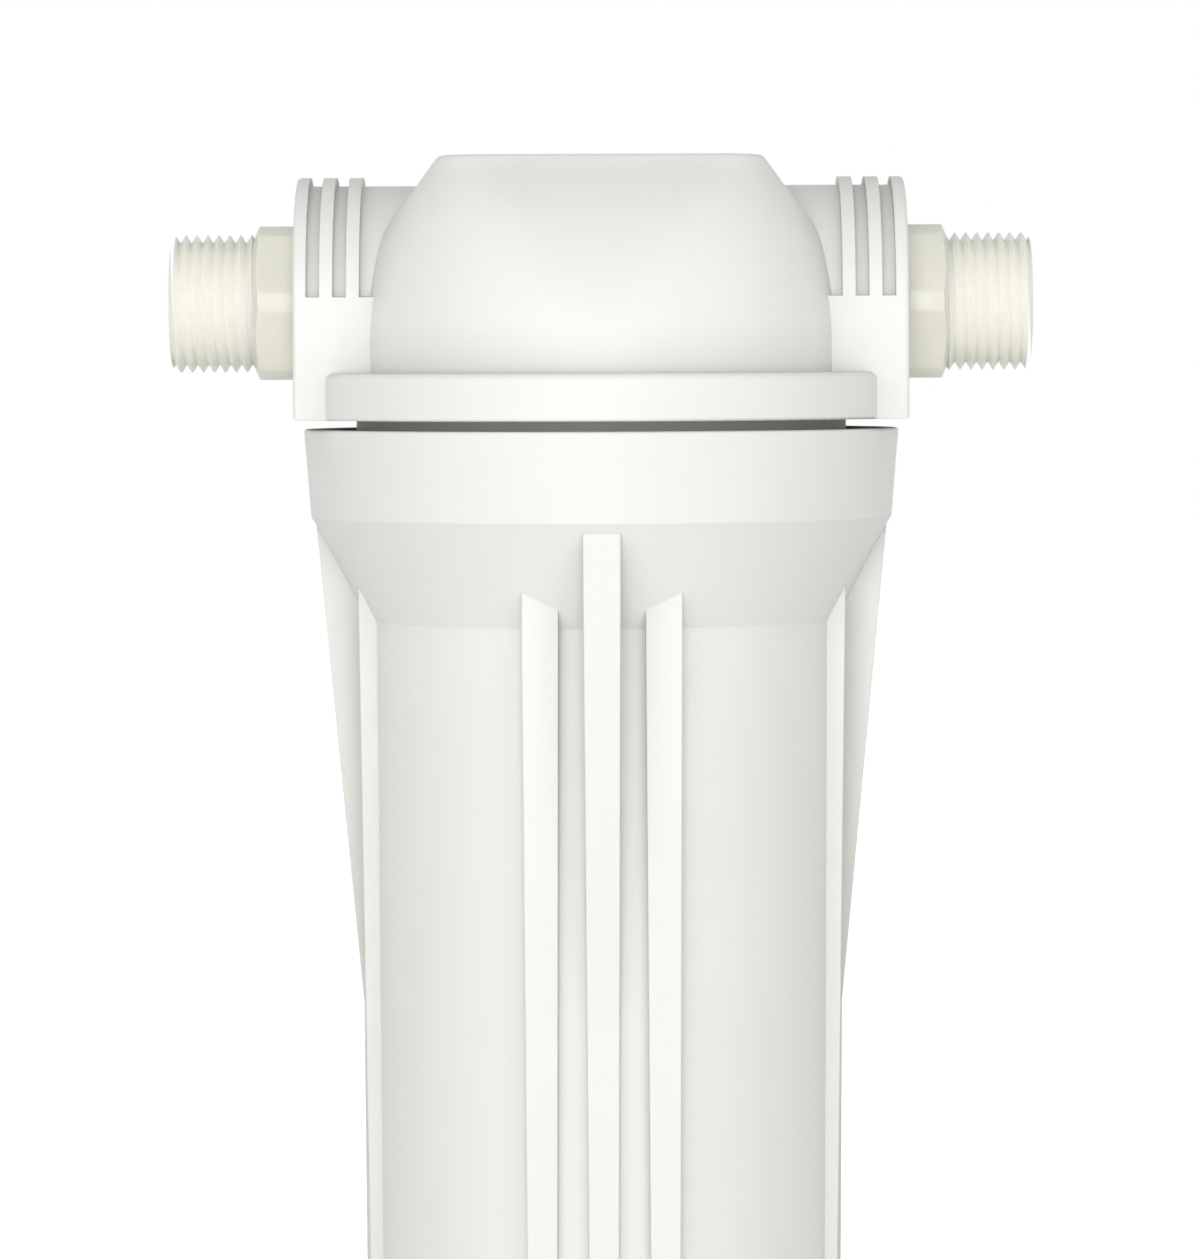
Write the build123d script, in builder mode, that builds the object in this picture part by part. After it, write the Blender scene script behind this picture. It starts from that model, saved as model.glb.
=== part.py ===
"""Water prefilter housing with its pleated cartridge, in millimetres.

Z is up, +X is the outlet side, and the origin is the centre of the bowl's foot.
The housing is sized outwards from the cartridge: bowl bore, seal, neck, thread, collar.
"""
from build123d import *
import math
import os

os.makedirs("parts", exist_ok=True)

# Cartridge: a standard ten-inch pleated element, gaskets included in its length
cartridge_length = 250.0
cartridge_radius = 31.75
cartridge_bore_radius = 13.0
gasket_thickness = 3.0
gasket_inner_radius = 13.6
gasket_outer_radius = 19.0
end_cap_height = 9.0
end_cap_disc = 4.0
end_cap_lip = 1.4
core_wall = 2.0
core_slot_width = 5.0
core_slot_height = 12.0
core_slot_gap = 7.0
core_slot_columns = 6
pleat_count = 56
pleat_thickness = 0.9
pleat_seat_clearance = 0.2

# Seats of the cartridge, alike on the bowl's floor and on the cap's post
knife_width = 1.2
spigot_wall = 2.4
spigot_clearance = 0.6
spigot_length = 8.0

# Bowl
water_gap = 8.65
bowl_wall = 4.6
floor_thickness = 5.5
lower_seat_height = 2.5
cartridge_rise = 4.0
body_taper_width = 1.3
bore_taper_width = 0.8
foot_rounding = 5.0
floor_rounding = 3.0
cone_height = 18.7
cone_hollow_depth = 0.3
collar_bevel_height = 0.9
collar_bevel_width = 0.6
collar_taper_width = 1.35
collar_wall = 6.85
collar_foot_rise = 1.2
rim_rounding = 0.6
mouth_chamfer = 0.6

# Ribs down the bowl: four groups of three parallel ribs
rib_groups = 4
rib_pitch = 11.4
rib_top_width = 6.9
rib_foot_width = 4.6
rib_foot_height = 8.0
rib_root_depth = 3.0
centre_rib_top_rise = 9.4
centre_rib_top_drop = 0.9
centre_rib_knee_drop = 110.0
centre_rib_knee_rise = 0.8
centre_rib_foot_rise = 0.0
outer_rib_top_rise = 1.2
outer_rib_foot_rise = -1.7

# Seal and coupling thread between bowl and cap
ledge_land = 1.3
seal_width = 4.3
seal_height = 3.4
groove_clearance = 0.3
nose_clearance = 0.4
neck_wall = 5.3
neck_length = 19.4
nose_chamfer = 0.8
gap_under_cap = 1.8
thread_pitch = 5.0
thread_depth = 2.6
thread_clearance = 0.6
male_root_width = 3.2
male_crest_width = 1.2
female_root_width = 2.6
female_crest_width = 0.9
male_turns = 2.7
female_turns = 2.0
thread_start_rise = 2.1
thread_embed = 0.5

# Cap
flange_thickness = 8.8
flange_top_rounding = 1.4
flange_foot_rounding = 0.5
dome_base_wall = 7.7
dome_arc_radius = 48.0
dome_height = 40.7
dome_wall = 5.5
crown_thickness = 6.0
crown_width = 60.4
crown_depth = 56.4
crown_flat_width = 46.0
crown_flat_spread = 1.5
crown_rounding = 1.6
dome_seam = 0.6
shoulder_drop = 9.3
post_wall = 7.0
cap_knife_height = 1.0
bracket_spacing_x = 42.0
bracket_spacing_y = 26.0
bracket_hole_radius = 2.0
bracket_hole_depth = 12.0
bracket_boss_wall = 3.0
bracket_boss_floor = 2.5

# Side ports
port_rise = 22.2
port_proud = 0.85
port_ring_radius = 23.9
port_groove_depth = 1.6
port_ring_width = 2.5
port_ring_count = 3
port_block_rise = 0.9
port_edge_rounding = 0.8
port_root = 25.0
port_bore_depth = 14.0
duct_wall = 4.0

# Hex nipples
hex_across_flats = 29.1
hex_length = 7.5
hex_corner_radius = 15.8
nose_cone_inset_width = 0.15
nose_cone_length = 1.0
nose_cone_taper_width = 2.0
relief_length = 1.0
nipple_thread_radius = 13.1
nipple_thread_depth = 1.35
nipple_thread_length = 14.6
nipple_lead_in_length = 0.8
nipple_bore_radius = 9.5
shank_thread_radius = 13.0
shank_length = 13.5
shank_lead_in_length = 1.0
shank_relief_depth = 1.0
shank_clearance = 0.05
port_seal_width = 2.1
port_seal_height = 1.9
port_seal_clearance = 0.05

# Radii that follow, from the cartridge outwards
body_bore_radius = cartridge_radius + water_gap
body_radius = body_bore_radius + bowl_wall
groove_inner_radius = body_bore_radius + ledge_land
seal_radius = groove_inner_radius + groove_clearance + seal_width / 2
groove_outer_radius = seal_radius + seal_width / 2 + groove_clearance
neck_bore_radius = seal_radius - neck_wall / 2
neck_root_radius = seal_radius + neck_wall / 2
neck_crest_radius = neck_root_radius + thread_depth
collar_bore_radius = neck_crest_radius + thread_clearance
collar_crest_radius = neck_root_radius + thread_clearance
rim_radius = collar_bore_radius + collar_wall
dome_base_radius = neck_bore_radius + dome_base_wall
port_reach = rim_radius + port_proud
knife_radius = (gasket_inner_radius + gasket_outer_radius) / 2

# Heights that follow, from the floor upwards
cartridge_foot = floor_thickness + lower_seat_height
cartridge_top = cartridge_foot + cartridge_length
bowl_height = cartridge_top - cartridge_rise
cap_foot = bowl_height + gap_under_cap
neck_nose = cap_foot - neck_length
ledge = neck_nose - nose_clearance
groove_floor = neck_nose - seal_height
collar_foot = ledge + collar_foot_rise
cone_top = collar_foot - collar_bevel_height
cone_foot = cone_top - cone_height
cone_top_radius = rim_radius - collar_taper_width - collar_bevel_width
flange_top = cap_foot + flange_thickness
cap_top = flange_top + dome_height
port_axis = cap_foot + port_rise
thread_foot = neck_nose + thread_start_rise


def body_radius_at(height):
    """Outer radius of the drafted body, which is narrowest at its foot."""
    return body_radius - body_taper_width * (cone_foot - height) / cone_foot


def thread_ridge(radius, depth, root_width, crest_width, turns, foot):
    """One helical ridge that stands out of radius by depth, or into it where depth is negative."""
    embed = -math.copysign(thread_embed, depth)
    with BuildPart() as ridge:
        with BuildLine() as path:
            Helix(thread_pitch, thread_pitch * turns, radius, center=(0, 0, foot))
        with BuildSketch(Plane.XZ):
            with BuildLine():
                Polyline(
                    (radius + embed, foot - root_width / 2),
                    (radius, foot - root_width / 2),
                    (radius + depth, foot - crest_width / 2),
                    (radius + depth, foot + crest_width / 2),
                    (radius, foot + root_width / 2),
                    (radius + embed, foot + root_width / 2),
                    close=True,
                )
            make_face()
        sweep(path=path.line, is_frenet=True)
    return ridge.part


# Rib outlines, as distance from the axis against height
rib_root = body_radius_at(0) - rib_root_depth
rib_top = cone_top - centre_rib_top_drop
centre_knee_height = bowl_height - centre_rib_knee_drop
centre_rib_outline = [
    (rib_root, rib_foot_height),
    (body_radius + centre_rib_foot_rise, rib_foot_height),
    (body_radius + centre_rib_knee_rise, centre_knee_height),
    (body_radius + centre_rib_top_rise, rib_top),
    (rib_root, rib_top),
]
outer_rib_outline = [
    (rib_root, rib_foot_height),
    (body_radius + outer_rib_foot_rise, rib_foot_height),
    (body_radius + outer_rib_top_rise, rib_top),
    (rib_root, rib_top),
]


def rib(outline, offset):
    """One rib of the +X group: its side outline, narrowed towards the foot by its front outline."""
    with BuildPart() as blade:
        with BuildSketch(Plane.XZ.offset(-offset)):
            with BuildLine():
                Polyline(outline, close=True)
            make_face()
        extrude(amount=rib_top_width / 2, both=True)
        with BuildSketch(Plane.YZ):
            with BuildLine():
                Polyline(
                    (offset - rib_foot_width / 2, rib_foot_height),
                    (offset + rib_foot_width / 2, rib_foot_height),
                    (offset + rib_top_width / 2, rib_top),
                    (offset - rib_top_width / 2, rib_top),
                    close=True,
                )
            make_face()
        extrude(amount=rim_radius, mode=Mode.INTERSECT)
    return blade.part


# Bowl: collar, cone, body and ribs as one moulding
cone_slope_radius = (cone_top_radius + body_radius) / 2 - cone_hollow_depth
with BuildPart() as bowl:
    with BuildSketch(Plane.XZ):
        with BuildLine():
            Line((0, 0), (body_radius_at(0), 0))
            Line((body_radius_at(0), 0), (body_radius, cone_foot))
            ThreePointArc(
                (body_radius, cone_foot),
                (cone_slope_radius, (cone_foot + cone_top) / 2),
                (cone_top_radius, cone_top),
            )
            Polyline(
                (cone_top_radius, cone_top),
                (rim_radius - collar_taper_width, collar_foot),
                (rim_radius, bowl_height),
                (0, bowl_height),
                (0, 0),
            )
        make_face()
        foot_corner = vertices().group_by(Axis.Y)[0].sort_by(Axis.X)[-1]
        fillet(foot_corner, foot_rounding)
        rim_corner = vertices().sort_by(Axis.X)[-1]
        fillet(rim_corner, rim_rounding)
    revolve(axis=Axis.Z)
    with PolarLocations(0, rib_groups):
        add(rib(centre_rib_outline, 0))
        add(rib(outer_rib_outline, rib_pitch))
        add(rib(outer_rib_outline, -rib_pitch))
    with BuildSketch(Plane.XZ):
        with BuildLine():
            Polyline(
                (0, floor_thickness),
                (body_bore_radius - bore_taper_width, floor_thickness),
                (body_bore_radius, groove_floor),
                (body_bore_radius, ledge),
                (groove_inner_radius, ledge),
                (groove_inner_radius, groove_floor),
                (groove_outer_radius, groove_floor),
                (groove_outer_radius, ledge),
                (collar_bore_radius, ledge),
                (collar_bore_radius, bowl_height - mouth_chamfer),
                (collar_bore_radius + mouth_chamfer, bowl_height),
                (0, bowl_height),
                close=True,
            )
        make_face()
        floor_corner = vertices().group_by(Axis.Y)[0].sort_by(Axis.X)[-1]
        fillet(floor_corner, floor_rounding)
    revolve(axis=Axis.Z, mode=Mode.SUBTRACT)
    with BuildSketch(Plane.XY.offset(floor_thickness)):
        Circle(cartridge_bore_radius - spigot_clearance)
        Circle(cartridge_bore_radius - spigot_clearance - spigot_wall, mode=Mode.SUBTRACT)
    extrude(amount=lower_seat_height + spigot_length)
    with BuildSketch(Plane.XY.offset(floor_thickness)):
        Circle(knife_radius + knife_width / 2)
        Circle(knife_radius - knife_width / 2, mode=Mode.SUBTRACT)
    extrude(amount=lower_seat_height)
    add(
        thread_ridge(
            collar_bore_radius,
            collar_crest_radius - collar_bore_radius,
            female_root_width,
            female_crest_width,
            female_turns,
            thread_foot + thread_pitch / 2,
        )
    )
bowl.part.label = "bowl"
export_step(bowl.part, "parts/bowl.step")

# Ring seal on the ledge of the bowl, under the nose of the neck
with BuildPart() as bowl_o_ring:
    with BuildSketch(Plane.XZ):
        with Locations((seal_radius, groove_floor + seal_height / 2)):
            SlotOverall(seal_width, seal_height)
    revolve(axis=Axis.Z)
bowl_o_ring.part.label = "bowl_o_ring"
export_step(bowl_o_ring.part, "parts/bowl_o_ring.step")

# Dome of the cap: a circle at the flange that turns into a rectangle with round corners at the crown
dome_arc_centre = dome_base_radius - dome_arc_radius
shoulder_rise = dome_height - shoulder_drop
dome_levels = [shoulder_rise * index / 5 for index in range(6)]
dome_levels += [dome_height - shoulder_drop / 2, dome_height]


def dome_outline(rise):
    """Half width, half depth and corner radius of the dome at a height above the flange"""
    if rise > shoulder_rise:
        share = (rise - shoulder_rise) / shoulder_drop
        shoulder_radius = dome_arc_centre + math.sqrt(dome_arc_radius**2 - shoulder_rise**2)
        half_width = shoulder_radius + share * (crown_width / 2 - shoulder_radius)
        half_depth = shoulder_radius + share * (crown_depth / 2 - shoulder_radius)
    else:
        half_width = half_depth = dome_arc_centre + math.sqrt(dome_arc_radius**2 - rise**2)
    flat = crown_flat_width / 2 * (rise / dome_height) ** crown_flat_spread
    return half_width, half_depth, half_width - max(flat, dome_seam / 2)


# Cavity under the dome: the bore of the neck, then an arc one wall inside the dome
cavity_arc_radius = dome_arc_radius - dome_wall
bore_rise = math.sqrt(cavity_arc_radius**2 - (neck_bore_radius - dome_arc_centre) ** 2)
ceiling_rise = dome_height - crown_thickness
ceiling = flange_top + ceiling_rise
ceiling_radius = dome_arc_centre + math.sqrt(cavity_arc_radius**2 - ceiling_rise**2)
cavity_mid_rise = (bore_rise + ceiling_rise) / 2
cavity_mid_radius = dome_arc_centre + math.sqrt(cavity_arc_radius**2 - cavity_mid_rise**2)

# Post and duct that carry the clean water from the cartridge to the outlet
spigot_radius = cartridge_bore_radius - spigot_clearance
water_way_radius = spigot_radius - spigot_wall
post_radius = water_way_radius + post_wall
duct_radius = water_way_radius + duct_wall
post_foot = cartridge_top + cap_knife_height

# Port boss on the +X side: a tube with three rings above a plain block
port_plane = Plane(origin=(0, 0, port_axis), x_dir=(1, 0, 0), z_dir=(0, -1, 0))
port_line = Axis((0, 0, port_axis), (1, 0, 0))
port_tube_radius = port_ring_radius - port_groove_depth
shank_relief_radius = shank_thread_radius - shank_relief_depth
port_seal_radius = shank_relief_radius + port_seal_clearance + port_seal_width / 2
port_seat_radius = port_seal_radius + port_seal_width / 2 + port_seal_clearance
with BuildPart() as port:
    with BuildSketch(Plane.YZ.offset(port_root)):
        with Locations((0, port_axis)):
            Circle(port_ring_radius)
        with Locations((0, cap_foot + port_rise / 2)):
            Rectangle(2 * port_ring_radius, port_rise)
        with Locations((0, cap_foot)):
            Rectangle(
                2 * port_ring_radius,
                2 * port_ring_radius,
                align=(Align.CENTER, Align.MIN),
                mode=Mode.INTERSECT,
            )
    extrude(amount=port_reach - port_root)
    fillet(faces().sort_by(Axis.X)[-1].edges(), port_edge_rounding)
    for index in range(port_ring_count):
        groove_end = port_reach - port_ring_width * (2 * index + 1)
        last = index == port_ring_count - 1
        groove_length = groove_end - port_root if last else port_ring_width
        with BuildSketch(Plane.YZ.offset(groove_end - groove_length)):
            with Locations((0, port_axis)):
                Circle(2 * port_ring_radius)
                Circle(port_tube_radius, mode=Mode.SUBTRACT)
            with Locations((0, port_axis + port_block_rise)):
                Rectangle(
                    4 * port_ring_radius,
                    2 * port_ring_radius,
                    align=(Align.CENTER, Align.MIN),
                    mode=Mode.INTERSECT,
                )
        extrude(amount=groove_length, mode=Mode.SUBTRACT)

# Cap: neck, flange, dome and both ports as one moulding
with BuildPart() as cap:
    with BuildSketch(Plane.XZ):
        with BuildLine():
            Polyline(
                (0, flange_top),
                (0, neck_nose),
                (neck_root_radius - nose_chamfer, neck_nose),
                (neck_root_radius, neck_nose + nose_chamfer),
                (neck_root_radius, cap_foot),
                (rim_radius, cap_foot),
                (rim_radius, flange_top),
                close=True,
            )
        make_face()
        flange_corners = vertices().group_by(Axis.X)[-1].sort_by(Axis.Y)
        fillet(flange_corners[-1], flange_top_rounding)
        flange_corners = vertices().group_by(Axis.X)[-1].sort_by(Axis.Y)
        fillet(flange_corners[0], flange_foot_rounding)
    revolve(axis=Axis.Z)
    for rise in dome_levels:
        half_width, half_depth, corner_radius = dome_outline(rise)
        with BuildSketch(Plane.XY.offset(flange_top + rise)):
            RectangleRounded(2 * half_width, 2 * half_depth, corner_radius)
    loft()
    fillet(faces().sort_by(Axis.Z)[-1].edges(), crown_rounding)
    add(port.part)
    add(port.part.rotate(Axis.Z, 180))
    with BuildSketch(Plane.XZ):
        with BuildLine():
            Polyline(
                (0, ceiling),
                (0, neck_nose),
                (neck_bore_radius, neck_nose),
                (neck_bore_radius, flange_top + bore_rise),
            )
            ThreePointArc(
                (neck_bore_radius, flange_top + bore_rise),
                (cavity_mid_radius, flange_top + cavity_mid_rise),
                (ceiling_radius, ceiling),
            )
            Line((ceiling_radius, ceiling), (0, ceiling))
        make_face()
    revolve(axis=Axis.Z, mode=Mode.SUBTRACT)
    with BuildSketch(Plane.XY.offset(post_foot)):
        Circle(post_radius)
    extrude(amount=cap_top - crown_rounding - post_foot)
    with BuildSketch(Plane.XY.offset(cartridge_top)):
        Circle(knife_radius + knife_width / 2)
        Circle(knife_radius - knife_width / 2, mode=Mode.SUBTRACT)
    extrude(amount=cap_knife_height)
    with BuildSketch(Plane.XY.offset(cartridge_top - spigot_length)):
        Circle(spigot_radius)
    extrude(amount=spigot_length + cap_knife_height)
    with BuildSketch(Plane.XY.offset(cap_top - crown_rounding)):
        with GridLocations(bracket_spacing_x, bracket_spacing_y, 2, 2):
            Circle(bracket_hole_radius + bracket_boss_wall)
    extrude(amount=-(bracket_hole_depth + bracket_boss_floor - crown_rounding))
    with BuildSketch(Plane.YZ):
        with Locations((0, port_axis)):
            Circle(duct_radius)
    extrude(amount=(neck_bore_radius + port_reach) / 2)
    with BuildSketch(Plane.XY.offset(cartridge_top - spigot_length)):
        Circle(water_way_radius)
    extrude(amount=port_axis + water_way_radius - cartridge_top + spigot_length, mode=Mode.SUBTRACT)
    with BuildSketch(Plane.YZ):
        with Locations((0, port_axis)):
            Circle(water_way_radius)
    extrude(amount=port_reach, mode=Mode.SUBTRACT)
    with BuildSketch(Plane.YZ.offset(-port_reach)):
        with Locations((0, port_axis)):
            Circle(water_way_radius)
    extrude(amount=port_reach - (post_radius + neck_bore_radius) / 2, mode=Mode.SUBTRACT)
    for side in (1, -1):
        with BuildSketch(Plane.YZ.offset(side * port_reach)):
            with Locations((0, port_axis)):
                Circle(shank_thread_radius + shank_clearance)
        extrude(amount=-side * port_bore_depth, mode=Mode.SUBTRACT)
        with BuildSketch(Plane.YZ.offset(side * port_reach)):
            with Locations((0, port_axis)):
                Circle(port_seat_radius)
        extrude(amount=-side * port_seal_height, mode=Mode.SUBTRACT)
    with Locations(Plane.XY.offset(cap_top)):
        with GridLocations(bracket_spacing_x, bracket_spacing_y, 2, 2):
            Hole(bracket_hole_radius, bracket_hole_depth)
    add(
        thread_ridge(
            neck_root_radius, thread_depth, male_root_width, male_crest_width, male_turns, thread_foot
        )
    )
cap.part.label = "cap"
export_step(cap.part, "parts/cap.step")

# Outlet nipple: hex, threaded shank in the port, threaded end for the pipe fitting
hex_end = port_reach + hex_length
shank_end = port_reach - shank_length
nose_cone_radius = hex_across_flats / 2 - nose_cone_inset_width
nose_end = hex_end + nose_cone_length
nipple_root_radius = nipple_thread_radius - nipple_thread_depth
nose_foot_radius = nose_cone_radius - nose_cone_taper_width
thread_begin = nose_end + relief_length
nipple_end = thread_begin + nipple_thread_length
with BuildPart() as outlet_nipple:
    with BuildSketch(Plane.YZ.offset(port_reach)):
        with Locations((0, port_axis)):
            RegularPolygon(hex_across_flats / 2, 6, major_radius=False)
            Circle(hex_corner_radius, mode=Mode.INTERSECT)
    extrude(amount=hex_length)
    with BuildSketch(port_plane):
        with BuildLine():
            Polyline(
                (shank_end, 0),
                (shank_end, shank_thread_radius - shank_lead_in_length),
                (shank_end + shank_lead_in_length, shank_thread_radius),
                (port_reach - port_seal_height, shank_thread_radius),
                (port_reach - port_seal_height, shank_relief_radius),
                (port_reach, shank_relief_radius),
                (port_reach, nose_cone_radius),
                (hex_end, nose_cone_radius),
                (nose_end, nose_foot_radius),
                (nose_end + nose_foot_radius - nipple_root_radius, nipple_root_radius),
                (thread_begin, nipple_root_radius),
                (thread_begin, nipple_thread_radius),
                (nipple_end - nipple_lead_in_length, nipple_thread_radius),
                (nipple_end, nipple_thread_radius - nipple_lead_in_length),
                (nipple_end, 0),
                close=True,
            )
        make_face()
    revolve(axis=port_line)
    with BuildSketch(Plane.YZ.offset(shank_end)):
        with Locations((0, port_axis)):
            Circle(nipple_bore_radius)
    extrude(amount=nipple_end - shank_end, mode=Mode.SUBTRACT)
outlet_nipple.part.label = "outlet_nipple"
export_step(outlet_nipple.part, "parts/outlet_nipple.step")

# Inlet nipple: the same moulding in the other port
with BuildPart() as inlet_nipple:
    mirror(outlet_nipple.part, about=Plane.YZ)
inlet_nipple.part.label = "inlet_nipple"
export_step(inlet_nipple.part, "parts/inlet_nipple.step")

# Ring seals under the hexes of the nipples
with BuildPart() as outlet_o_ring:
    with BuildSketch(port_plane):
        with Locations((port_reach - port_seal_height / 2, port_seal_radius)):
            SlotOverall(port_seal_width, port_seal_height, rotation=90)
    revolve(axis=port_line)
outlet_o_ring.part.label = "outlet_o_ring"
export_step(outlet_o_ring.part, "parts/outlet_o_ring.step")
with BuildPart() as inlet_o_ring:
    mirror(outlet_o_ring.part, about=Plane.YZ)
inlet_o_ring.part.label = "inlet_o_ring"
export_step(inlet_o_ring.part, "parts/inlet_o_ring.step")

# Cartridge core: a tube with columns of slots, between the two end caps
core_foot = cartridge_foot + gasket_thickness + end_cap_disc
core_height = cartridge_length - 2 * (gasket_thickness + end_cap_disc)
core_radius = cartridge_bore_radius + core_wall
core_slot_step = core_slot_height + core_slot_gap
core_slot_rows = int((core_height - 2 * end_cap_height) // core_slot_step)
with BuildPart() as cartridge_core:
    with BuildSketch(Plane.XY.offset(core_foot)):
        Circle(core_radius)
        Circle(cartridge_bore_radius, mode=Mode.SUBTRACT)
    extrude(amount=core_height)
    for column in range(core_slot_columns // 2):
        with BuildSketch(Plane.XZ.rotated((0, 0, 360 / core_slot_columns * column))):
            with Locations((0, core_foot + core_height / 2)):
                with GridLocations(0, core_slot_step, 1, core_slot_rows):
                    Rectangle(core_slot_width, core_slot_height)
        extrude(amount=core_radius, both=True, mode=Mode.SUBTRACT)
cartridge_core.part.label = "cartridge_core"
export_step(cartridge_core.part, "parts/cartridge_core.step")

# Pleat pack: folds of equal thickness that touch at the core and open outwards
pleat_outer_radius = cartridge_radius - end_cap_lip - pleat_seat_clearance
pleat_inner_radius = core_radius + pleat_seat_clearance
pleat_angle = 2 * math.pi / pleat_count
fold_radius = pleat_thickness / math.sin(pleat_angle / 2)
tip_angle = math.asin(pleat_thickness / pleat_outer_radius)
pleat_points = []
for pleat in range(pleat_count):
    middle = pleat_angle * pleat
    for radius, angle in (
        (fold_radius, middle - pleat_angle / 2),
        (pleat_outer_radius, middle - tip_angle),
        (pleat_outer_radius, middle + tip_angle),
    ):
        pleat_points.append((radius * math.cos(angle), radius * math.sin(angle)))
with BuildPart() as pleat_pack:
    with BuildSketch(Plane.XY.offset(core_foot)):
        with BuildLine():
            Polyline(pleat_points, close=True)
        make_face()
        Circle(pleat_inner_radius, mode=Mode.SUBTRACT)
    extrude(amount=core_height)
pleat_pack.part.label = "pleat_pack"
export_step(pleat_pack.part, "parts/pleat_pack.step")

# End cap: a disc with a lip around the ends of the pleats
with BuildPart() as bottom_end_cap:
    with BuildSketch(Plane.XY.offset(cartridge_foot + gasket_thickness)):
        Circle(cartridge_radius)
        Circle(cartridge_bore_radius, mode=Mode.SUBTRACT)
    extrude(amount=end_cap_disc)
    with BuildSketch(Plane.XY.offset(core_foot)):
        Circle(cartridge_radius)
        Circle(cartridge_radius - end_cap_lip, mode=Mode.SUBTRACT)
    extrude(amount=end_cap_height - end_cap_disc)
bottom_end_cap.part.label = "bottom_end_cap"
export_step(bottom_end_cap.part, "parts/bottom_end_cap.step")

cartridge_middle = cartridge_foot + cartridge_length / 2
with BuildPart() as top_end_cap:
    mirror(bottom_end_cap.part, about=Plane.XY.offset(cartridge_middle))
top_end_cap.part.label = "top_end_cap"
export_step(top_end_cap.part, "parts/top_end_cap.step")

# Flat gaskets that the knife edges of the bowl and the cap press on
with BuildPart() as bottom_gasket:
    with BuildSketch(Plane.XY.offset(cartridge_foot)):
        Circle(gasket_outer_radius)
        Circle(gasket_inner_radius, mode=Mode.SUBTRACT)
    extrude(amount=gasket_thickness)
bottom_gasket.part.label = "bottom_gasket"
export_step(bottom_gasket.part, "parts/bottom_gasket.step")
with BuildPart() as top_gasket:
    mirror(bottom_gasket.part, about=Plane.XY.offset(cartridge_middle))
top_gasket.part.label = "top_gasket"
export_step(top_gasket.part, "parts/top_gasket.step")
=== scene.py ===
"""Water prefilter housing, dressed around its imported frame.

Everything is in metres. Z is up, +X is the outlet side, and the origin is the centre of the bowl's foot.
"""
import math

import bpy
from bpy.props import FloatProperty, FloatVectorProperty, IntProperty, PointerProperty
from mathutils import Matrix, Vector


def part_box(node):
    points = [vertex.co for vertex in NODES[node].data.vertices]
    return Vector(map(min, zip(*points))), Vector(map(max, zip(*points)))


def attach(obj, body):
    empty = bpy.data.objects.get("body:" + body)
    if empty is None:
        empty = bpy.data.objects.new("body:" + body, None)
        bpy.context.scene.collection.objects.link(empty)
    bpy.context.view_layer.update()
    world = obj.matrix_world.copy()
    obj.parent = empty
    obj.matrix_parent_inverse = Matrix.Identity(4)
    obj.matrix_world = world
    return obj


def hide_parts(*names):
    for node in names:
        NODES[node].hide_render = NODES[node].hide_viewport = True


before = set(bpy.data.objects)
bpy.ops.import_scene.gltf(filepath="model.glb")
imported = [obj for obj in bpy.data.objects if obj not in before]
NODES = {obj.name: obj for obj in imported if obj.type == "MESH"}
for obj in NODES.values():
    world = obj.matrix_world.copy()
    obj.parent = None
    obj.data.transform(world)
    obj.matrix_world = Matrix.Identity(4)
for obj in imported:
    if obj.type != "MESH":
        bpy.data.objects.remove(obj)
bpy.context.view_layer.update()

bl_info = {
    "name": "Water prefilter",
    "version": (1, 0, 0),
    "blender": (4, 5, 0),
    "location": "View3D > Sidebar > Prefilter",
    "description": "Dresses the housing, models the hex nipples and sets the stage",
    "category": "Object",
}

MM = 0.001

NIPPLE_LOW, NIPPLE_HIGH = (Vector(corner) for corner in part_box("outlet_nipple"))
PORT_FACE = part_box("cap")[1][0]
PORT_AXIS = (NIPPLE_LOW.z + NIPPLE_HIGH.z) / 2
NIPPLE_END = NIPPLE_HIGH.x
SHANK_END = NIPPLE_LOW.x


def length(name, description, default):
    return FloatProperty(name=name, description=description, default=default, unit="LENGTH", precision=5)


def colour(name, description, default):
    return FloatVectorProperty(
        name=name, description=description, default=default, subtype="COLOR", size=3, min=0, max=1
    )


def share(name, description, default):
    return FloatProperty(name=name, description=description, default=default, min=0, max=1, subtype="FACTOR")


class StageSettings(bpy.types.PropertyGroup):
    camera_distance: length("Camera distance", "From the housing's axis to the camera", 1.05)
    camera_height: length("Camera height", "Height of the camera above the floor", 0.266)
    camera_offset: length("Camera offset", "How far the camera stands to the side", -0.00037)
    camera_pitch: FloatProperty(
        name="Pitch", description="How far the camera looks down", default=math.radians(2.76), subtype="ANGLE"
    )
    camera_roll: FloatProperty(
        name="Roll", description="Turn about the line of sight", default=math.radians(-0.2), subtype="ANGLE"
    )
    lens: FloatProperty(name="Lens", description="Focal length in millimetres", default=156.7, min=1)
    front_power: FloatProperty(name="Front lamp", description="Watts of the wide front lamp", default=15.6, min=0)
    side_power: FloatProperty(name="Side lamps", description="Watts of each side lamp", default=2.6, min=0)
    lamp_colour: colour("Lamp colour", "Colour of the three lamps", (1.0, 0.94, 0.96))
    sky_colour: colour("Sky colour", "Colour of the light from all round", (0.955, 1.0, 0.97))
    sky_strength: FloatProperty(name="Sky", description="Strength of the light from all round", default=0.69, min=0)
    sky_top: share("Sky overhead", "Brightness straight overhead, as a share of the horizon's", 0.42)
    floor_colour: colour("Floor colour", "Colour of the floor", (0.8, 0.8, 0.8))
    floor_lift: FloatProperty(name="Floor lift", description="Keeps the empty floor white", default=0.75, min=0)


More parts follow.
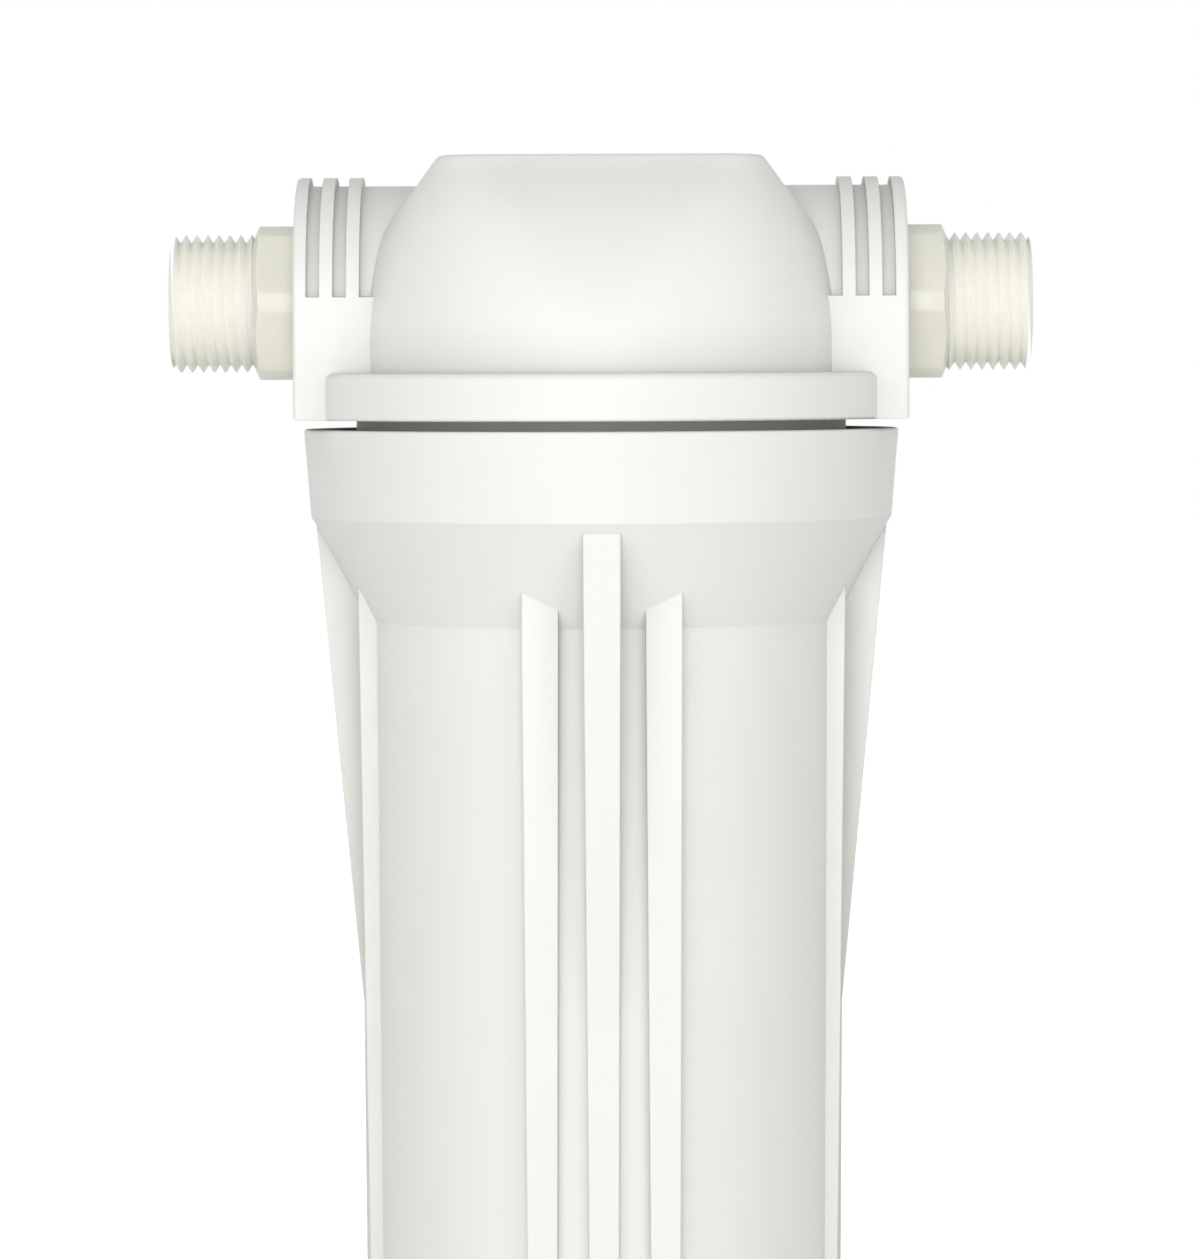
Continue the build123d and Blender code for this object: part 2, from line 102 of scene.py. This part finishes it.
class HousingSettings(bpy.types.PropertyGroup):
    tone: colour("Colour", "Colour of the moulded housing", (0.868, 0.882, 0.848))
    shade_tone: colour("Flow colour", "Colour in the faint flow marks", (0.842, 0.862, 0.828))
    roughness: share("Roughness", "Roughness of the satin skin", 0.46)
    grain_size: length("Grain size", "Width of one grain of the skin", 0.00055)
    grain_depth: length("Grain depth", "Depth of the grain", 0.00002)
    edge_radius: length("Edge radius", "Rounding of the moulded edges", 0.00035)
    # Painted shade: the housing's colour is darkened towards this tone where walls close in over the surface, within
    # the reach below.
    painted_recess_shade: colour("Recess colour", "Colour deep in the recesses", (0.5, 0.52, 0.47))
    recess_shade_reach: length("Recess reach", "How far a wall darkens the surface beside it", 0.01)


class NippleSettings(bpy.types.PropertyGroup):
    # Painted shade: the hex is the same cream plastic as the threaded end, given a darker colour for the shade on its
    # flats.
    shaded_hex_tone: colour("Hex colour", "Colour of the hex", (0.80, 0.805, 0.715))
    tone: colour("Colour", "Colour of the threaded end, which lets light through", (0.95, 0.955, 0.89))
    # Painted shade in the thread roots; the random mottle also mixes towards this colour.
    root_shade_and_mottle_tone: colour("Root colour", "Colour in the thread roots", (0.88, 0.87, 0.73))
    roughness: share("Roughness", "Roughness of the nipples", 0.36)
    across_flats: length("Across flats", "Width of the hex over its flats", 0.0291)
    corner_radius: length("Corner radius", "Radius to which the hex corners are turned", 0.0158)
    hex_end: length("Hex end", "Distance of the hex's end from the housing's axis", 0.0652)
    crest_radius: length("Crest radius", "Radius over the thread crests", 0.0131)
    root_radius: length("Root radius", "Radius at the thread roots", 0.0116)
    bore_radius: length("Bore radius", "Radius of the water way", 0.0095)
    pitch: length("Pitch", "Pitch of the pipe thread", 0.0021)
    crest_place: length("Crest place", "Distance of the crest nearest the hex from the housing's axis", 0.0687)
    facets: IntProperty(name="Facets", description="Facets round the thread", default=72, min=12)


class FillingSettings(bpy.types.PropertyGroup):
    seal_tone: colour("Seal colour", "Colour of the ring seals", (0.012, 0.012, 0.013))
    gasket_tone: colour("Gasket colour", "Colour of the flat gaskets", (0.62, 0.62, 0.6))
    core_tone: colour("Core colour", "Colour of the perforated core", (0.8, 0.8, 0.79))
    media_tone: colour("Media colour", "Colour of the pleated media", (0.86, 0.86, 0.82))
    cap_tone: colour("End cap colour", "Colour of the cartridge's end caps", (0.66, 0.7, 0.76))


def rgba(tone):
    return (*tone, 1.0)


class Finish:
    """A material built round one Principled shader, with its patterns on Object coordinates."""

    def __init__(self, name):
        self.material = bpy.data.materials.new(name)
        self.material.use_nodes = True
        self.tree = self.material.node_tree
        self.shader = self.tree.nodes["Principled BSDF"]
        self.place = self.add("ShaderNodeTexCoord").outputs["Object"]

    def add(self, kind, **values):
        node = self.tree.nodes.new(kind)
        for key, value in values.items():
            setattr(node, key, value)
        return node

    def link(self, output, node, name):
        self.tree.links.new(output, node.inputs[name])

    def noise(self, size, detail=3.0, roughness=0.5):
        node = self.add("ShaderNodeTexNoise")
        node.inputs["Scale"].default_value = 1 / size
        node.inputs["Detail"].default_value = detail
        node.inputs["Roughness"].default_value = roughness
        self.link(self.place, node, "Vector")
        return node.outputs["Fac"]

    def span(self, value, low, high, start, end):
        """Maps low to high onto start to end, and holds the ends."""
        node = self.add("ShaderNodeMapRange")
        for name, number in (("From Min", low), ("From Max", high), ("To Min", start), ("To Max", end)):
            node.inputs[name].default_value = number
        self.link(value, node, "Value")
        return node.outputs["Result"]

    def mix(self, share_of_second, first, second):
        node = self.add("ShaderNodeMix", data_type="RGBA")
        node.inputs["A"].default_value = (0, 0, 0, 1)
        for index, tone in ((6, first), (7, second)):
            if isinstance(tone, bpy.types.NodeSocket):
                self.tree.links.new(tone, node.inputs[index])
            else:
                node.inputs[index].default_value = rgba(tone)
        self.tree.links.new(share_of_second, node.inputs[0])
        return node.outputs[2]

    def bump(self, height, depth, below=None, strength=1.0):
        node = self.add("ShaderNodeBump")
        node.inputs["Distance"].default_value = depth
        node.inputs["Strength"].default_value = strength
        self.link(height, node, "Height")
        if below is not None:
            self.link(below, node, "Normal")
        return node.outputs["Normal"]

    def rounded(self, radius):
        node = self.add("ShaderNodeBevel", samples=6)
        node.inputs["Radius"].default_value = radius
        return node.outputs["Normal"]

    def closeness(self, reach):
        """How much of the space above the surface is taken up by walls within reach."""
        node = self.add("ShaderNodeAmbientOcclusion", samples=8)
        node.inputs["Distance"].default_value = reach
        return self.span(node.outputs["AO"], 0.0, 1.0, 1.0, 0.0)

    def set(self, **values):
        for name, value in values.items():
            self.shader.inputs[name.replace("_", " ")].default_value = value


def dress(piece, finish):
    for slot in piece.material_slots:
        slot.material = finish.material


def start_clean():
    if bpy.context.object and bpy.context.object.mode != "OBJECT":
        bpy.ops.object.mode_set(mode="OBJECT")
    bpy.ops.object.select_all(action="DESELECT")


def outline(name, points):
    """A piece that is one open line through points, given as (distance along X, radius)."""
    start_clean()
    bpy.ops.mesh.primitive_plane_add(size=MM, location=(0, 0, 0))
    piece = bpy.context.object
    piece.name = piece.data.name = name
    bpy.ops.object.mode_set(mode="EDIT")
    bpy.ops.mesh.merge(type="CENTER")
    bpy.ops.transform.translate(value=(points[0][0], 0, points[0][1]))
    for (x0, r0), (x1, r1) in zip(points, points[1:]):
        bpy.ops.mesh.extrude_region_move(TRANSFORM_OT_translate={"value": (x1 - x0, 0, r1 - r0)})
    return piece


def turned(name, points, steps):
    """A closed solid of revolution about the X axis through the origin."""
    piece = outline(name, points)
    bpy.ops.mesh.select_all(action="SELECT")
    bpy.ops.mesh.spin(steps=steps, angle=2 * math.pi, center=(0, 0, 0), axis=(1, 0, 0))
    close_up()
    return piece


def close_up():
    """Merges the doubles, points the faces outwards and leaves edit mode."""
    bpy.ops.mesh.select_all(action="SELECT")
    bpy.ops.mesh.remove_doubles(threshold=1e-6)
    bpy.ops.mesh.normals_make_consistent(inside=False)
    bpy.ops.object.mode_set(mode="OBJECT")


def combine(piece, other, operation):
    """Joins, cuts or trims piece by other, which is used up."""
    start_clean()
    piece.select_set(True)
    bpy.context.view_layer.objects.active = piece
    modifier = piece.modifiers.new(operation.lower(), "BOOLEAN")
    modifier.operation = operation
    modifier.solver = "EXACT"
    modifier.object = other
    bpy.ops.object.modifier_apply(modifier=modifier.name)
    mesh = other.data
    bpy.data.objects.remove(other)
    bpy.data.meshes.remove(mesh)


def soften(piece, width, angle, segments):
    start_clean()
    piece.select_set(True)
    bpy.context.view_layer.objects.active = piece
    modifier = piece.modifiers.new("edges", "BEVEL")
    modifier.width = width
    modifier.segments = segments
    modifier.limit_method = "ANGLE"
    modifier.angle_limit = angle
    bpy.ops.object.modifier_apply(modifier=modifier.name)


def threaded_bar(name, settings, start, end):
    """A right-hand threaded bar about the X axis, with a crest straight below the axis at crest_place."""
    pitch, root, crest = settings.pitch, settings.root_radius, settings.crest_radius
    flat = 0.06 * MM
    turns = math.ceil((end - start) / pitch) + 2
    first = settings.crest_place - pitch * math.ceil((settings.crest_place - start) / pitch + 1)
    profile = [
        (first, crest),
        (first + flat, crest),
        (first + 0.14 * MM, crest - 0.12 * MM),
        (first + pitch / 2 - 0.12 * MM, root + 0.07 * MM),
        (first + pitch / 2, root),
        (first + pitch / 2 + 0.12 * MM, root + 0.07 * MM),
        (first + pitch - 0.14 * MM, crest - 0.12 * MM),
        (first + pitch - flat, crest),
        (first + pitch, crest),
    ]
    piece = outline(name, profile)
    bpy.ops.mesh.select_all(action="SELECT")
    bpy.ops.transform.rotate(value=math.pi, orient_axis="X", center_override=(0, 0, 0))
    bpy.ops.object.mode_set(mode="OBJECT")
    modifier = piece.modifiers.new("thread", "SCREW")
    modifier.axis = "X"
    modifier.angle = 2 * math.pi
    modifier.screw_offset = pitch
    modifier.iterations = turns
    modifier.steps = modifier.render_steps = settings.facets
    modifier.use_merge_vertices = True
    modifier.merge_threshold = 1e-6
    bpy.ops.object.modifier_apply(modifier=modifier.name)
    bpy.ops.object.mode_set(mode="EDIT")
    bpy.ops.mesh.select_all(action="SELECT")
    bpy.ops.mesh.remove_doubles(threshold=1e-6)
    for place, clear in ((start, "clear_inner"), (end, "clear_outer")):
        bpy.ops.mesh.select_all(action="SELECT")
        bpy.ops.mesh.bisect(plane_co=(place, 0, 0), plane_no=(1, 0, 0), use_fill=True, **{clear: True})
    close_up()
    return piece


def nipple_piece(settings):
    """The outlet nipple about the X axis through the origin: hex, nose, pipe thread and screwed shank."""
    bore = settings.bore_radius
    hex_end = settings.hex_end
    corner = settings.corner_radius
    steps = settings.facets * 2
    body = turned(
        "hex blank",
        [
            (PORT_FACE - 2.2 * MM, 0),
            (PORT_FACE - 2.2 * MM, 12.0 * MM),
            (PORT_FACE, 12.0 * MM),
            (PORT_FACE, corner),
            (hex_end - 0.5 * MM, corner),
            (hex_end, 14.5 * MM),
            (hex_end + 1.25 * MM, 11.5 * MM),
            (hex_end + 1.7 * MM, 11.5 * MM),
            (hex_end + 1.7 * MM, 0),
        ],
        steps,
    )
    start_clean()
    bpy.ops.mesh.primitive_cylinder_add(
        vertices=6,
        radius=settings.across_flats / 2 / math.cos(math.pi / 6),
        depth=20 * MM,
        location=(PORT_FACE + 4 * MM, 0, 0),
        rotation=(0, math.pi / 2, 0),
    )
    prism = bpy.context.object
    bpy.ops.object.transform_apply(location=True, rotation=True, scale=True)
    flat_on_top = max(v.co.z for v in prism.data.vertices) < settings.across_flats / 2 + 0.1 * MM
    if not flat_on_top:
        bpy.ops.object.mode_set(mode="EDIT")
        bpy.ops.mesh.select_all(action="SELECT")
        bpy.ops.transform.rotate(value=math.pi / 6, orient_axis="X", center_override=(0, 0, 0))
        bpy.ops.object.mode_set(mode="OBJECT")
    combine(body, prism, "INTERSECT")
    soften(body, 0.4 * MM, math.radians(25), 3)

    crest = settings.crest_radius
    bar = threaded_bar("nipple", settings, SHANK_END - 0.4 * MM, NIPPLE_END + 0.4 * MM)
    blank = turned(
        "thread blank",
        [
            (SHANK_END, 0),
            (SHANK_END, 11.9 * MM),
            (SHANK_END + 1.1 * MM, 13.0 * MM),
            (PORT_FACE - 2.1 * MM, 13.0 * MM),
            (PORT_FACE - 1.1 * MM, 12.0 * MM),
            (PORT_FACE + 1 * MM, 12.0 * MM),
            (PORT_FACE + 2 * MM, crest + 0.2 * MM),
            (NIPPLE_END - 1.2 * MM, crest + 0.2 * MM),
            (NIPPLE_END, 12.1 * MM),
            (NIPPLE_END, 0),
        ],
        steps,
    )
    combine(bar, blank, "INTERSECT")
    combine(bar, body, "UNION")
    way = turned(
        "water way",
        [
            (SHANK_END - 1 * MM, 0),
            (SHANK_END - 1 * MM, bore + 1.5 * MM),
            (SHANK_END + 0.5 * MM, bore),
            (NIPPLE_END - 0.5 * MM, bore),
            (NIPPLE_END + 1 * MM, bore + 1.5 * MM),
            (NIPPLE_END + 1 * MM, 0),
        ],
        steps,
    )
    combine(bar, way, "DIFFERENCE")
    return bar


def finish_piece(piece, turn=0.0):
    """Turns the piece about Y, lifts it onto the port's axis and leaves its object at the origin."""
    start_clean()
    piece.select_set(True)
    bpy.context.view_layer.objects.active = piece
    piece.matrix_world = Matrix.Translation((0, 0, PORT_AXIS)) @ Matrix.Rotation(turn, 4, "Y")
    bpy.ops.object.transform_apply(location=True, rotation=True, scale=True)
    bpy.ops.object.shade_smooth_by_angle(angle=math.radians(40))


class PREFILTER_OT_stage(bpy.types.Operator):
    """Sets up the camera, the lamps, the sky and the floor"""

    bl_idname = "prefilter.stage"
    bl_label = "Stage"

    def execute(self, context):
        settings = context.scene.prefilter_stage
        scene = context.scene
        scene.view_settings.view_transform = "Standard"

        start_clean()
        bpy.ops.object.camera_add(location=(settings.camera_offset, -settings.camera_distance, settings.camera_height))
        camera = context.object
        camera.name = "camera"
        camera.data.lens = settings.lens
        camera.data.sensor_width = 36
        camera.data.clip_start, camera.data.clip_end = 0.01, 20
        look = Matrix.Rotation(math.pi / 2 - settings.camera_pitch, 3, "X") @ Matrix.Rotation(
            settings.camera_roll, 3, "Z"
        )
        camera.rotation_euler = look.to_euler()
        scene.camera = camera

        aim = Vector((0, 0, 0.2))
        for name, place, size, power in (
            ("front lamp", Vector((-0.12, -1.7, 0.36)), 1.1, settings.front_power),
            ("left lamp", Vector((-1.15, -1.15, 0.35)), 0.7, settings.side_power),
            ("right lamp", Vector((1.15, -1.15, 0.35)), 0.7, settings.side_power),
        ):
            bpy.ops.object.light_add(type="AREA", location=place)
            lamp = context.object
            lamp.name = name
            lamp.data.shape = "SQUARE"
            lamp.data.size = size
            lamp.data.energy = power
            lamp.data.color = settings.lamp_colour
            lamp.rotation_euler = (aim - place).to_track_quat("-Z", "Y").to_euler()

        self.sky(scene, settings)
        self.floor(settings)
        return {"FINISHED"}

    def sky(self, scene, settings):
        world = bpy.data.worlds.new("sky")
        scene.world = world
        world.use_nodes = True
        tree = world.node_tree
        background = tree.nodes["Background"]
        rays = tree.nodes.new("ShaderNodeLightPath")
        seen = rays.outputs["Is Camera Ray"]
        for name in ("Is Glossy Ray", "Is Transmission Ray"):
            either = tree.nodes.new("ShaderNodeMath")
            either.operation = "MAXIMUM"
            tree.links.new(seen, either.inputs[0])
            tree.links.new(rays.outputs[name], either.inputs[1])
            seen = either.outputs[0]
        place = tree.nodes.new("ShaderNodeTexCoord")
        parts = tree.nodes.new("ShaderNodeSeparateXYZ")
        tree.links.new(place.outputs["Generated"], parts.inputs[0])
        fade = tree.nodes.new("ShaderNodeMapRange")
        fade.inputs["From Min"].default_value = 0
        fade.inputs["From Max"].default_value = 1
        fade.inputs["To Min"].default_value = settings.sky_strength
        fade.inputs["To Max"].default_value = settings.sky_strength * settings.sky_top
        tree.links.new(parts.outputs["Z"], fade.inputs["Value"])
        strength = tree.nodes.new("ShaderNodeMix")
        strength.data_type = "FLOAT"
        tree.links.new(seen, strength.inputs[0])
        tree.links.new(fade.outputs["Result"], strength.inputs[2])
        strength.inputs[3].default_value = 1.0
        tree.links.new(strength.outputs[0], background.inputs["Strength"])
        tint = tree.nodes.new("ShaderNodeMix")
        tint.data_type = "RGBA"
        tree.links.new(seen, tint.inputs[0])
        tint.inputs[6].default_value = rgba(settings.sky_colour)
        tint.inputs[7].default_value = (1, 1, 1, 1)
        tree.links.new(tint.outputs[2], background.inputs["Color"])

    def floor(self, settings):
        start_clean()
        bpy.ops.mesh.primitive_plane_add(size=14, location=(0, 0, 0))
        floor = bpy.context.object
        floor.name = floor.data.name = "floor"
        finish = Finish("pale floor")
        finish.set(Base_Color=rgba(settings.floor_colour), Roughness=0.8)
        finish.shader.inputs["Specular IOR Level"].default_value = 0.0
        rays = finish.add("ShaderNodeLightPath")
        seen = rays.outputs["Is Camera Ray"]
        for name in ("Is Glossy Ray", "Is Transmission Ray"):
            either = finish.add("ShaderNodeMath", operation="MAXIMUM")
            finish.tree.links.new(seen, either.inputs[0])
            finish.tree.links.new(rays.outputs[name], either.inputs[1])
            seen = either.outputs[0]
        lift = finish.add("ShaderNodeMath", operation="MULTIPLY")
        finish.tree.links.new(seen, lift.inputs[0])
        lift.inputs[1].default_value = settings.floor_lift
        finish.tree.links.new(lift.outputs[0], finish.shader.inputs["Emission Strength"])
        finish.shader.inputs["Emission Color"].default_value = (1, 1, 1, 1)
        floor.data.materials.append(finish.material)


class PREFILTER_OT_housing(bpy.types.Operator):
    """Gives the cap and the bowl their white, finely grained skin"""

    bl_idname = "prefilter.housing"
    bl_label = "Housing"

    def execute(self, context):
        settings = context.scene.prefilter_housing
        finish = Finish("white satin housing")
        grain = finish.noise(settings.grain_size, detail=2.0, roughness=0.6)
        swell = finish.noise(4 * MM, detail=2.0)
        flow = finish.noise(26 * MM, detail=3.0)
        tone = finish.mix(finish.span(flow, 0.35, 0.7, 0.0, 0.55), settings.tone, settings.shade_tone)
        specks = finish.span(grain, 0.3, 0.75, 0.12, 0.0)
        tone = finish.mix(specks, tone, settings.shade_tone)
        # Painted shade: darkens the colour in the recesses and beside the ribs and walls.
        tone = finish.mix(finish.closeness(settings.recess_shade_reach), tone, settings.painted_recess_shade)
        finish.link(tone, finish.shader, "Base Color")
        finish.link(
            finish.span(swell, 0.3, 0.7, settings.roughness - 0.04, settings.roughness + 0.05),
            finish.shader,
            "Roughness",
        )
        normal = finish.rounded(settings.edge_radius)
        normal = finish.bump(grain, settings.grain_depth, normal)
        finish.link(normal, finish.shader, "Normal")
        finish.set(Subsurface_Weight=0.12, Subsurface_Scale=1.2 * MM, IOR=1.49)
        finish.shader.inputs["Subsurface Radius"].default_value = (1.0, 0.95, 0.8)
        for name in ("cap", "bowl"):
            dress(NODES[name], finish)
        return {"FINISHED"}


class PREFILTER_OT_nipples(bpy.types.Operator):
    """Models the two hex nipples with their pipe threads"""

    bl_idname = "prefilter.nipples"
    bl_label = "Nipples"

    def execute(self, context):
        settings = context.scene.prefilter_nipple
        finish = self.finish(settings)
        outlet = nipple_piece(settings)
        outlet.name = outlet.data.name = "outlet_hex_nipple"
        inlet = outlet.copy()
        inlet.data = outlet.data.copy()
        inlet.name = inlet.data.name = "inlet_hex_nipple"
        context.scene.collection.objects.link(inlet)
        for piece, turn, node in ((outlet, 0.0, "outlet_nipple"), (inlet, math.pi, "inlet_nipple")):
            finish_piece(piece, turn)
            piece.data.materials.clear()
            piece.data.materials.append(finish.material)
            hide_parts(node)
            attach(piece, "head")
        return {"FINISHED"}

    def finish(self, settings):
        finish = Finish("cream nipple")
        parts = finish.add("ShaderNodeSeparateXYZ")
        centred = finish.add("ShaderNodeMapping")
        centred.inputs["Location"].default_value = (0, 0, -PORT_AXIS)
        finish.link(finish.place, centred, "Vector")
        finish.link(centred.outputs[0], parts, 0)
        radius = finish.add("ShaderNodeVectorMath", operation="LENGTH")
        flat = finish.add("ShaderNodeCombineXYZ")
        finish.link(parts.outputs["Y"], flat, "Y")
        finish.link(parts.outputs["Z"], flat, "Z")
        finish.link(flat.outputs[0], radius, 0)
        # Painted shade: the colour darkens from the crests down into the thread roots.
        depth = finish.span(radius.outputs["Value"], settings.root_radius, settings.crest_radius, 0.4, 0.0)
        mottle = finish.noise(3 * MM, detail=2.0)
        reach = finish.add("ShaderNodeMath", operation="ABSOLUTE")
        finish.link(parts.outputs["X"], reach, 0)
        threaded = finish.span(
            reach.outputs[0], settings.hex_end - 0.2 * MM, settings.hex_end + 1.5 * MM, 0.0, 1.0
        )
        # Painted shade on the hex: a darker hex colour and a lighter threaded end.
        tone = finish.mix(threaded, settings.shaded_hex_tone, settings.tone)
        tone = finish.mix(depth, tone, settings.root_shade_and_mottle_tone)
        tone = finish.mix(finish.span(mottle, 0.35, 0.75, 0.0, 0.18), tone, settings.root_shade_and_mottle_tone)
        finish.link(tone, finish.shader, "Base Color")
        grain = finish.noise(0.4 * MM, detail=2.0)
        finish.link(
            finish.span(mottle, 0.3, 0.7, settings.roughness - 0.04, settings.roughness + 0.06),
            finish.shader,
            "Roughness",
        )
        finish.link(finish.bump(grain, 0.01 * MM), finish.shader, "Normal")
        finish.set(Subsurface_Weight=0.35, Subsurface_Scale=2.0 * MM, IOR=1.5)
        finish.shader.inputs["Subsurface Radius"].default_value = (1.0, 0.9, 0.55)
        return finish


class PREFILTER_OT_seals(bpy.types.Operator):
    """Gives the ring seals and the flat gaskets their rubber"""

    bl_idname = "prefilter.seals"
    bl_label = "Seals"

    def execute(self, context):
        settings = context.scene.prefilter_filling
        for label, tone, roughness, names in (
            ("black seal rubber", settings.seal_tone, 0.5, ("bowl_o_ring", "inlet_o_ring", "outlet_o_ring")),
            ("pale gasket rubber", settings.gasket_tone, 0.7, ("top_gasket", "bottom_gasket")),
        ):
            finish = Finish(label)
            dust = finish.noise(1.5 * MM, detail=3.0)
            paler = [min(1.0, value * 1.5 + 0.01) for value in tone]
            finish.link(finish.mix(finish.span(dust, 0.4, 0.8, 0.0, 0.4), tone, paler), finish.shader, "Base Color")
            finish.link(finish.span(dust, 0.3, 0.7, roughness - 0.08, roughness + 0.1), finish.shader, "Roughness")
            finish.link(finish.bump(finish.noise(0.3 * MM), 0.01 * MM), finish.shader, "Normal")
            for name in names:
                dress(NODES[name], finish)
        return {"FINISHED"}


class PREFILTER_OT_cartridge(bpy.types.Operator):
    """Gives the cartridge's core, pleats and end caps their finishes"""

    bl_idname = "prefilter.cartridge"
    bl_label = "Cartridge"

    def execute(self, context):
        settings = context.scene.prefilter_filling
        for label, tone, roughness, grain_size, grain_depth, names in (
            ("white core plastic", settings.core_tone, 0.42, 0.6 * MM, 0.015 * MM, ("cartridge_core",)),
            ("pleated media", settings.media_tone, 0.9, 0.35 * MM, 0.06 * MM, ("pleat_pack",)),
            ("end cap plastic", settings.cap_tone, 0.5, 0.8 * MM, 0.02 * MM, ("top_end_cap", "bottom_end_cap")),
        ):
            finish = Finish(label)
            cloud = finish.noise(9 * MM, detail=3.0)
            deeper = [value * 0.88 for value in tone]
            finish.link(finish.mix(finish.span(cloud, 0.35, 0.7, 0.0, 0.6), tone, deeper), finish.shader, "Base Color")
            finish.link(finish.span(cloud, 0.3, 0.7, roughness - 0.05, roughness + 0.05), finish.shader, "Roughness")
            finish.link(finish.bump(finish.noise(grain_size), grain_depth), finish.shader, "Normal")
            for name in names:
                dress(NODES[name], finish)
        return {"FINISHED"}


class PREFILTER_PT_panel(bpy.types.Panel):
    """Lists the pieces and the stage of the prefilter"""

    bl_idname = "PREFILTER_PT_panel"
    bl_label = "Water prefilter"
    bl_space_type = "VIEW_3D"
    bl_region_type = "UI"
    bl_category = "Prefilter"

    def draw(self, context):
        for operator, group in (
            (PREFILTER_OT_stage, "prefilter_stage"),
            (PREFILTER_OT_housing, "prefilter_housing"),
            (PREFILTER_OT_nipples, "prefilter_nipple"),
            (PREFILTER_OT_seals, "prefilter_filling"),
            (PREFILTER_OT_cartridge, "prefilter_filling"),
        ):
            box = self.layout.box()
            box.operator(operator.bl_idname)
            settings = getattr(context.scene, group)
            for name in type(settings).__annotations__:
                box.prop(settings, name)


GROUPS = {
    "prefilter_stage": StageSettings,
    "prefilter_housing": HousingSettings,
    "prefilter_nipple": NippleSettings,
    "prefilter_filling": FillingSettings,
}
OPERATORS = (
    PREFILTER_OT_stage,
    PREFILTER_OT_housing,
    PREFILTER_OT_nipples,
    PREFILTER_OT_seals,
    PREFILTER_OT_cartridge,
)


def register():
    for item in (*GROUPS.values(), *OPERATORS, PREFILTER_PT_panel):
        bpy.utils.register_class(item)
    for name, group in GROUPS.items():
        setattr(bpy.types.Scene, name, PointerProperty(type=group))


def unregister():
    for name in GROUPS:
        delattr(bpy.types.Scene, name)
    for item in (PREFILTER_PT_panel, *reversed(OPERATORS), *reversed(GROUPS.values())):
        bpy.utils.unregister_class(item)


def main():
    register()
    bpy.ops.prefilter.stage()
    bpy.ops.prefilter.housing()
    bpy.ops.prefilter.nipples()
    bpy.ops.prefilter.seals()
    bpy.ops.prefilter.cartridge()


if __name__ == "__main__":
    main()
